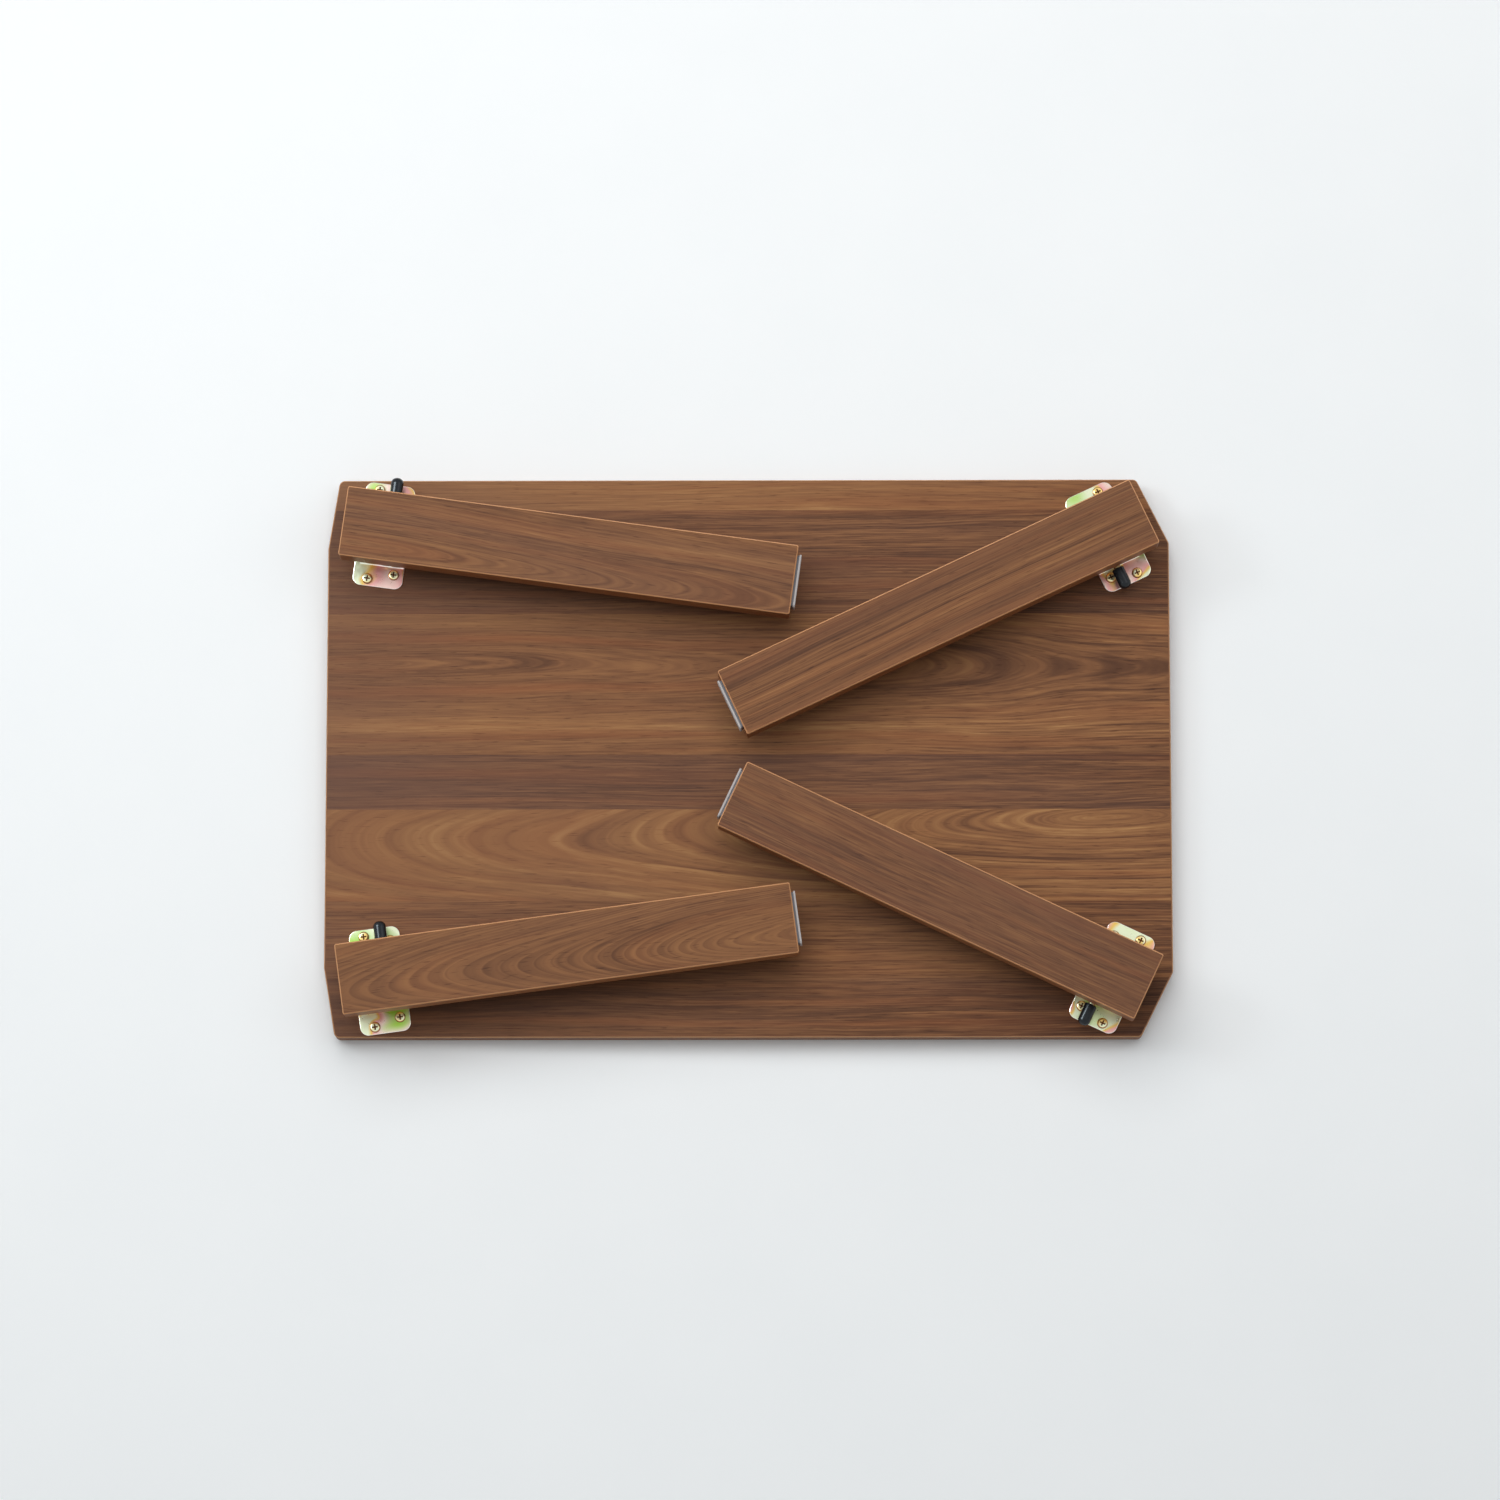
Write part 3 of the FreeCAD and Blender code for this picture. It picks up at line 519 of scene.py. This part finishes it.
# The screw colours paint light and shade: the sloping sides of each head are darkened as painted shade, and
# the cross recess, its walls and the shank are painted dark as shadow.
goldScrew = {
    "top": tone(250, 212, 130),
    "topFlatness": 0.97,           # the least that the head's top has
    "slope": tone(166, 108, 58),
    "slopeFlatness": 0.7,
    "recess": tone(96, 54, 30),
    "recessDepth": 0.0004,         # below the head's top
    "wallFlatness": (0.5, 0.2),    # the recess's walls, and the shank
    "patch": 160,
    "patchSpan": (0.4, 0.6),
}


def screwFinish():
    finish = Finish("goldChromate")
    flat = flatness(finish)
    height = finish.split(finish.coordinates())[2]
    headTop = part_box(cornerNames[0] + "_base_screws")[1].z
    film = finish.noise(finish.coordinates(), detail=1.0, scale=goldScrew["patch"])
    top = finish.mix(finish.span(film, *goldScrew["patchSpan"]), goldScrew["top"], chromate["pale"])
    # painted shade: darker down the sloping sides of the head
    slope = finish.span(flat, goldScrew["topFlatness"], goldScrew["slopeFlatness"])
    # painted shadow: the cross recess, its walls and the shank are painted dark
    sunk = (height < headTop - goldScrew["recessDepth"]) * (flat > goldScrew["topFlatness"])
    recess = finish.math("MAXIMUM", sunk, finish.span(flat, *goldScrew["wallFlatness"]))
    head = finish.mix(slope, top, goldScrew["slope"])
    return metalSurface(finish, finish.mix(recess, head, goldScrew["recess"]))


wire = {"dull": tone(176, 176, 178), "bright": tone(214, 212, 206), "draw": 2500, "roughness": (0.2, 0.35)}


def wireFinish():
    finish = Finish("springWire")
    draw = finish.noise(finish.coordinates(), 3.0, 0.6, scale=wire["draw"])
    return finish.surface({
        "Base Color": finish.mix(draw, wire["dull"], wire["bright"]),
        "Metallic": 1.0,
        "Roughness": finish.within(draw, wire["roughness"]),
    })


# Soft and moulded pieces

vinyl = {
    "colour": tone(4, 10, 16),
    "worn": tone(12, 23, 33),
    "wornShare": 0.5,
    "skin": 900,
    "skinDepth": 0.0001,
    "roughness": (0.14, 0.29),
    "shine": 0.34,
}


def vinylFinish():
    finish = Finish("blackVinyl")
    skin = finish.noise(finish.coordinates(), 3.0, 0.6, scale=vinyl["skin"])
    return finish.surface({
        "Base Color": finish.mix(skin * vinyl["wornShare"], vinyl["colour"], vinyl["worn"]),
        "Roughness": finish.within(skin, vinyl["roughness"]),
        "Normal": finish.bump(skin, 0.2, vinyl["skinDepth"]),
        "Specular IOR Level": vinyl["shine"],
    })


plastic = {
    "colour": tone(108, 108, 115),
    "dusty": tone(128, 127, 132),
    "dust": 120,
    "grain": 1400,
    "grainDepth": 0.00005,
    "roughness": (0.45, 0.55),
}


def plasticFinish():
    finish = Finish("greyPlastic")
    grainy = finish.noise(finish.coordinates(), 3.0, 0.6, scale=plastic["grain"])
    dust = finish.noise(finish.coordinates(), scale=plastic["dust"])
    return finish.surface({
        "Base Color": finish.mix(dust, plastic["colour"], plastic["dusty"]),
        "Roughness": finish.within(grainy, plastic["roughness"]),
        "Normal": finish.bump(grainy, 0.15, plastic["grainDepth"]),
    })


sole = {
    "colour": tone(176, 171, 171),
    "scuffed": tone(202, 197, 194),
    "scuff": 700,
    "scuffDepth": 0.0002,
    "roughness": (0.7, 0.9),
}


def soleFinish():
    finish = Finish("paleSole")
    scuff = finish.noise(finish.coordinates(), 5.0, 0.75, 0.6, sole["scuff"])
    return finish.surface({
        "Base Color": finish.mix(scuff, sole["colour"], sole["scuffed"]),
        "Roughness": finish.within(scuff, sole["roughness"]),
        "Normal": finish.bump(scuff, 0.5, sole["scuffDepth"]),
    })


def dress(node, material):  # gives a carried-over piece its material
    piece = frame["nodes"][node]
    piece.data.materials.clear()
    piece.data.materials.append(material)


def dressFrame():
    dress("tabletop_core", boardFinish())
    dress("underside_facing", facingFinish("undersideWalnut", (0, 0, 0)))
    dress("top_facing", facingFinish("topWalnut", (3.3, 1.7, 0)))
    dress("edge_band", edgeBandFinish())
    plate, screw = plateFinish(), screwFinish()
    cap, glide, pad = vinylFinish(), plasticFinish(), soleFinish()
    for corner in cornerNames:
        dress(corner + "_leg", legFinish(corner))
        dress(corner + "_hinge_base", plate)
        dress(corner + "_leg_bracket", plate)
        for part in ("base_screws", "bracket_screws", "pivot_pin", "lock_rod"):
            dress(f"{corner}_{part}", screw)
        dress(corner + "_lever_cap", cap)
        dress(corner + "_foot_glide", glide)
        dress(corner + "_foot_pad", pad)


dressFrame()
print("frame dressed")


# Lock springs: a coil between the pivot pin and the lock rod, with a hook round each. A real coil
# stretches as its rod slides away from the pin; this one is built once and stays as it is.

spring = {
    "wireRadius": 0.00035,
    "coilRadius": 0.00225,    # to the middle of the wire
    "turns": 8,
    "stepsPerTurn": 20,
    "sides": 8,
    "hookRadius": 0.00295,    # to the middle of the wire, just clear of the pin and the rod
    "hookMouth": 55,          # degrees left open to each side of the coil
}


def tube(name, points, radius, sides, material):
    mesh = bmesh.new()
    side = None
    rings = []
    for i, point in enumerate(points):
        ahead = (points[min(i + 1, len(points) - 1)] - points[max(i - 1, 0)]).normalized()
        side = ahead.orthogonal() if side is None else side - ahead * side.dot(ahead)
        side.normalize()
        other = ahead.cross(side)
        angles = [2 * math.pi * k / sides for k in range(sides)]
        rim = [point + (side * math.cos(a) + other * math.sin(a)) * radius for a in angles]
        rings.append([mesh.verts.new(place) for place in rim])
    for near, far in zip(rings, rings[1:]):
        for k in range(sides):
            after = (k + 1) % sides
            mesh.faces.new((near[k], near[after], far[after], far[k]))
    mesh.faces.new(reversed(rings[0]))
    mesh.faces.new(rings[-1])
    return finishMesh(name, mesh, material)


def finishMesh(name, mesh, material):
    data = bpy.data.meshes.new(name)
    mesh.to_mesh(data)
    mesh.free()
    data.materials.append(material)
    for face in data.polygons:
        face.use_smooth = True
    piece = bpy.data.objects.new(name, data)
    bpy.context.scene.collection.objects.link(piece)
    return piece


def arc(centre, first, second, radius, startAngle, endAngle, steps):
    places = []
    for i in range(steps + 1):
        angle = math.radians(startAngle + (endAngle - startAngle) * i / steps)
        places.append(centre + (first * math.cos(angle) + second * math.sin(angle)) * radius)
    return places


def lockSpring(corner, material):
    pivot, across = cornerFrame(corner)[::2]
    away = Vector(jointsByName[corner + "_lever_slide"]["axis"]).normalized()
    normal = across.cross(away)
    rodLow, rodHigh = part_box(corner + "_lock_rod")
    reach = ((rodLow + rodHigh) / 2 - pivot).dot(away)
    hookRadius, mouth = spring["hookRadius"], spring["hookMouth"]
    coilStart, coilEnd = hookRadius, reach - hookRadius
    steps = spring["turns"] * spring["stepsPerTurn"]
    points = arc(pivot, away, normal, hookRadius, 360 - mouth, mouth, spring["stepsPerTurn"])
    for i in range(steps + 1):
        angle = 2 * math.pi * spring["turns"] * i / steps
        middle = pivot + away * (coilStart + (coilEnd - coilStart) * i / steps)
        points.append(middle + (normal * math.cos(angle) + across * math.sin(angle)) * spring["coilRadius"])
    rod = pivot + away * reach
    points += arc(rod, away, normal, hookRadius, 180 - mouth, mouth - 180, spring["stepsPerTurn"])
    coil = tube(corner + "_springCoil", points, spring["wireRadius"], spring["sides"], material)
    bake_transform(coil)
    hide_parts(corner + "_lock_spring")


springWire = wireFinish()
for corner in cornerNames:
    lockSpring(corner, springWire)
print("lock springs wound")


# Floor, light and camera

room = {
    "floorColour": tone(250, 252, 253),
    "floorShade": tone(240, 243, 245),
    "floorGlow": (0.05, 0.57),    # near and far, seen by the camera only
    "glowReach": (0.9, 3.6),      # metres from the middle between which it grows
    "floorSize": 16,
    "floorDrop": 0.0003,          # keeps the floor clear of the face that lies on it
    "plaster": 9,
    "plasterShare": 0.5,
    "roughness": 0.9,
    "shine": 0.1,
    "pale": tone(238, 242, 244),
    "skyStrength": 0.27,
    "seenBy": ("Camera", "Glossy", "Transmission"),    # these see the pale colour in full
}
keyLamp = {
    "place": (-0.4, 1.15, 2.7), "size": 3.2, "power": 63.5, "colour": (1.0, 0.99, 0.975),
    "lights": True, "mirrored": False,    # the metal mirrors the pale room instead of this lamp
}
fillLamp = {
    "place": (1.7, 0.6, 2.4), "size": 2.0, "power": 8, "colour": (0.94, 0.97, 1.0),
    "lights": True, "mirrored": True,
}
sideLamp = {
    "place": (-1.6, 0.6, 1.5), "size": 0.6, "power": 6, "colour": (0.88, 0.96, 1.0),
    "lights": True, "mirrored": False,
}
glintCard = {    # only mirrored: it draws the bright line along each cap
    "place": (-1.6, 0.5, 1.6), "size": 1.3, "power": 58, "colour": (0.8, 0.92, 1.0),
    "lights": False, "mirrored": True,
}


def addFloor():
    finish = Finish("paleFloor")
    plaster = finish.noise(finish.coordinates(), 4.0, 0.6, scale=room["plaster"])
    along, across = finish.split(finish.coordinates())[:2]
    squared = along * along + across * across
    glow = finish.span(finish.math("SQRT", squared), *room["glowReach"], *room["floorGlow"])
    seen = finish.node("ShaderNodeLightPath", {}, {}, "Is Camera Ray")
    finish.surface({
        "Base Color": finish.mix(plaster * room["plasterShare"], room["floorColour"], room["floorShade"]),
        "Roughness": room["roughness"],
        "Specular IOR Level": room["shine"],
        "Emission Color": finish.mix(seen * glow, grey(0.0), room["floorColour"]),
        "Emission Strength": 1.0,
    })
    mesh = bmesh.new()
    half = room["floorSize"] / 2
    corners = ((-half, -half), (half, -half), (half, half), (-half, half))
    mesh.faces.new([mesh.verts.new((x, y, cadBounds[0].z - room["floorDrop"])) for x, y in corners])
    finishMesh("floor", mesh, finish.material)


def addLamp(name, lamp):
    light = bpy.data.lights.new(name, "AREA")
    light.shape = "DISK"
    light.size = lamp["size"]
    light.energy = lamp["power"]
    light.color = lamp["colour"]
    holder = bpy.data.objects.new(name, light)
    holder.location = lamp["place"]
    holder.rotation_euler = (-Vector(lamp["place"])).to_track_quat("-Z", "Y").to_euler()
    holder.visible_camera = False
    holder.visible_diffuse = lamp["lights"]
    holder.visible_glossy = lamp["mirrored"]
    bpy.context.scene.collection.objects.link(holder)


def addSky():  # soft even light, seen as the pale room by the camera and in reflections
    world = bpy.data.worlds.new("room")
    bpy.context.scene.world = world
    finish = Finish("room", world)
    rays = [finish.node("ShaderNodeLightPath", {}, {}, f"Is {kind} Ray") for kind in room["seenBy"]]
    seen = finish.math("MAXIMUM", rays[0], finish.math("MAXIMUM", rays[1], rays[2]))
    light = finish.node("ShaderNodeBackground", {}, {"Color": room["pale"], "Strength": room["skyStrength"]})
    shown = finish.node("ShaderNodeBackground", {}, {"Color": room["pale"], "Strength": 1.0})
    both = finish.node("ShaderNodeMixShader", {}, {0: seen, 1: light, 2: shown})
    finish.node("ShaderNodeOutputWorld", {}, {"Surface": both}, None)


photoView = {
    "place": (0.043, -0.622, 4.233),
    "forward": (-0.0098, 0.1471, -0.989),
    "lens": 144,    # millimetres, like the sensor
    "sensor": 36,
}


def addCamera():
    camera = bpy.data.cameras.new("photoCamera")
    camera.sensor_width = photoView["sensor"]
    camera.lens = photoView["lens"]
    holder = bpy.data.objects.new("photoCamera", camera)
    forward = Vector(photoView["forward"]).normalized()
    right = forward.cross(Vector((0, 1, 0))).normalized()
    turn = Matrix((right, right.cross(forward), -forward)).transposed()
    holder.matrix_world = Matrix.Translation(photoView["place"]) @ turn.to_4x4()
    bpy.context.scene.collection.objects.link(holder)
    bpy.context.scene.camera = holder


addFloor()
addLamp("keyLamp", keyLamp)
addLamp("fillLamp", fillLamp)
addLamp("sideLamp", sideLamp)
addLamp("glintCard", glintCard)
addSky()
addCamera()
bpy.context.scene.view_settings.view_transform = "Standard"
print("room, lamps and camera set")
